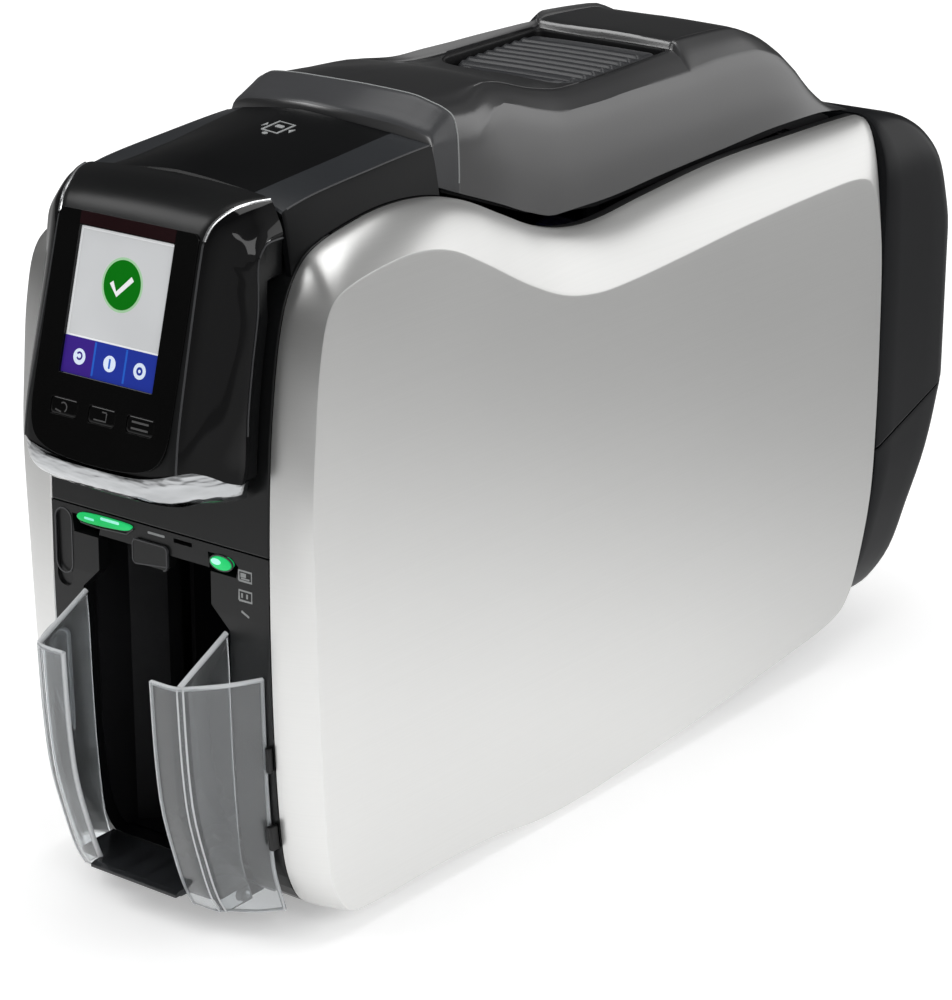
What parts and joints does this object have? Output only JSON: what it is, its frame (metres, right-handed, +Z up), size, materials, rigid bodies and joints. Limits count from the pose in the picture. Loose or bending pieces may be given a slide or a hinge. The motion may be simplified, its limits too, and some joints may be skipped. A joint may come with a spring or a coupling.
{
  "type": "id card printer",
  "caption": "Desktop card printer with a tilted screen head, clear card guard at the front hopper, hinged ribbon door with a ribbed latch pad, and silver side panels.",
  "frame": {"origin": "centre of the footprint on the table", "axes": "+Z up, -Y towards the front with the screen and the hopper, +X to the right-hand side seen from the front"},
  "size_m": [0.144, 0.4876, 0.2994],
  "materials": {
    "silver_panel": "satin",
    "dark_body": "fine texture",
    "dark_cover": "satin",
    "gloss_black": "high gloss",
    "bright_trim": "satin chrome",
    "screen_face": "lit",
    "clear_plastic": "clear",
    "light_guide": "translucent",
    "rubber": "matte",
    "steel": "ground",
    "gear_plastic": "moulded",
    "ribbon_film": "film",
    "board_green": "coated",
    "socket_metal": "plated"
  },
  "bodies": {
    "chassis": {"base_tray": "dark_body", "left_wall": "dark_body", "right_wall": "dark_body", "left_side_panel": "silver_panel", "right_side_panel": "silver_panel", "hopper_bezel": "dark_cover", "head_frame": "dark_cover", "top_deck": "dark_cover", "head_shell": "gloss_black", "head_lip": "bright_trim", "head_flanks": "gloss_black", "display_window": "gloss_black", "display_panel": "screen_face", "light_guides": "light_guide", "hopper_liner": "dark_body", "wing_clips": "dark_body", "ribbon_bay": "dark_body", "drive_motor": "steel", "head_bearings": "dark_body", "hinge_pin": "steel", "rear_housing": "dark_cover", "rear_lower_cover": "dark_body", "power_inlet": "dark_body", "data_ports": "socket_metal", "mainboard": "board_green", "feet": "rubber"},
    "door": {"ribbon_door": "dark_cover", "door_liner": "dark_body", "pad_well": "dark_body"},
    "latch": {"latch_pad": "dark_cover", "latch_hook": "dark_body"},
    "feed_shaft": {"feed_roller": "rubber", "feed_axle": "steel", "feed_gear": "gear_plastic"},
    "transport_shaft": {"transport_roller": "rubber", "transport_axle": "steel", "transport_gear": "gear_plastic"},
    "platen_shaft": {"platen_roller": "rubber", "platen_axle": "steel", "platen_gear": "gear_plastic"},
    "front_idler_gear": {"front_idler": "gear_plastic"},
    "rear_idler_gear": {"rear_idler": "gear_plastic"},
    "pinion": {"motor_pinion": "gear_plastic"},
    "supply_spool": {"supply_core": "gear_plastic", "supply_roll": "ribbon_film"},
    "takeup_spool": {"takeup_core": "gear_plastic", "takeup_roll": "ribbon_film"},
    "printhead": {"printhead_carriage": "dark_body", "printhead_bar": "dark_body"},
    "left_key": {"key_left": "gloss_black"},
    "middle_key": {"key_middle": "gloss_black"},
    "right_key": {"key_right": "gloss_black"},
    "card_guard": {"wing_left": "clear_plastic", "wing_right": "clear_plastic", "wing_bridge": "dark_body"},
    "card_lift": {"lift_plate": "dark_body"}
  },
  "joints": [
    {"name": "door_hinge", "type": "hinge", "parent": "chassis", "child": "door", "pos_m": [0, 0.16, 0.2345], "axis": [-1, 0, 0], "range_deg": [0, 65]},
    {"name": "latch_press", "type": "hinge", "parent": "door", "child": "latch", "pos_m": [0, 0.0525, 0.2834], "axis": [1, 0, 0], "range_deg": [0, 3], "stiffness_Nm_per_rad": 0.2, "springref_deg": -4.58},
    {"name": "platen_spin", "type": "hinge", "parent": "chassis", "child": "platen_shaft", "pos_m": [0, -0.03, 0.13], "axis": [1, 0, 0], "continuous": true},
    {"name": "transport_spin", "type": "hinge", "parent": "chassis", "child": "transport_shaft", "pos_m": [0, -0.09, 0.13], "axis": [1, 0, 0], "continuous": true},
    {"name": "feed_spin", "type": "hinge", "parent": "chassis", "child": "feed_shaft", "pos_m": [0, -0.15, 0.13], "axis": [1, 0, 0], "continuous": true},
    {"name": "front_idler_spin", "type": "hinge", "parent": "chassis", "child": "front_idler_gear", "pos_m": [0, -0.12, 0.13], "axis": [1, 0, 0], "continuous": true},
    {"name": "rear_idler_spin", "type": "hinge", "parent": "chassis", "child": "rear_idler_gear", "pos_m": [0, -0.06, 0.13], "axis": [1, 0, 0], "continuous": true},
    {"name": "pinion_spin", "type": "hinge", "parent": "chassis", "child": "pinion", "pos_m": [0, -0.06, 0.106], "axis": [1, 0, 0], "continuous": true},
    {"name": "supply_spin", "type": "hinge", "parent": "chassis", "child": "supply_spool", "pos_m": [0, 0.062, 0.19], "axis": [1, 0, 0], "continuous": true},
    {"name": "takeup_spin", "type": "hinge", "parent": "chassis", "child": "takeup_spool", "pos_m": [0, -0.092, 0.19], "axis": [1, 0, 0], "continuous": true},
    {"name": "printhead_lift", "type": "hinge", "parent": "chassis", "child": "printhead", "pos_m": [0, 0.044, 0.166], "axis": [-1, 0, 0], "range_deg": [0, 12]},
    {"name": "card_guard_tilt", "type": "hinge", "parent": "chassis", "child": "card_guard", "pos_m": [0, -0.205, 0.0115], "axis": [1, 0, 0], "range_deg": [0, 25]},
    {"name": "card_lift_slide", "type": "slide", "parent": "chassis", "child": "card_lift", "axis": [0, 0, 1], "range_m": [0, 0.085]},
    {"name": "left_key_press", "type": "slide", "parent": "chassis", "child": "left_key", "axis": [0, 0.965, -0.2622], "range_m": [0, 0.0007], "stiffness_N_per_m": 300, "springref_m": -0.0003},
    {"name": "middle_key_press", "type": "slide", "parent": "chassis", "child": "middle_key", "axis": [0, 0.965, -0.2622], "range_m": [0, 0.0007], "stiffness_N_per_m": 300, "springref_m": -0.0003},
    {"name": "right_key_press", "type": "slide", "parent": "chassis", "child": "right_key", "axis": [0, 0.965, -0.2622], "range_m": [0, 0.0007], "stiffness_N_per_m": 300, "springref_m": -0.0003}
  ],
  "couplings": [
    {"joint": "transport_spin", "follows": "platen_spin", "ratio": 1},
    {"joint": "feed_spin", "follows": "platen_spin", "ratio": 1},
    {"joint": "front_idler_spin", "follows": "platen_spin", "ratio": -0.66667},
    {"joint": "rear_idler_spin", "follows": "platen_spin", "ratio": -0.66667},
    {"joint": "pinion_spin", "follows": "platen_spin", "ratio": 2}
  ]
}
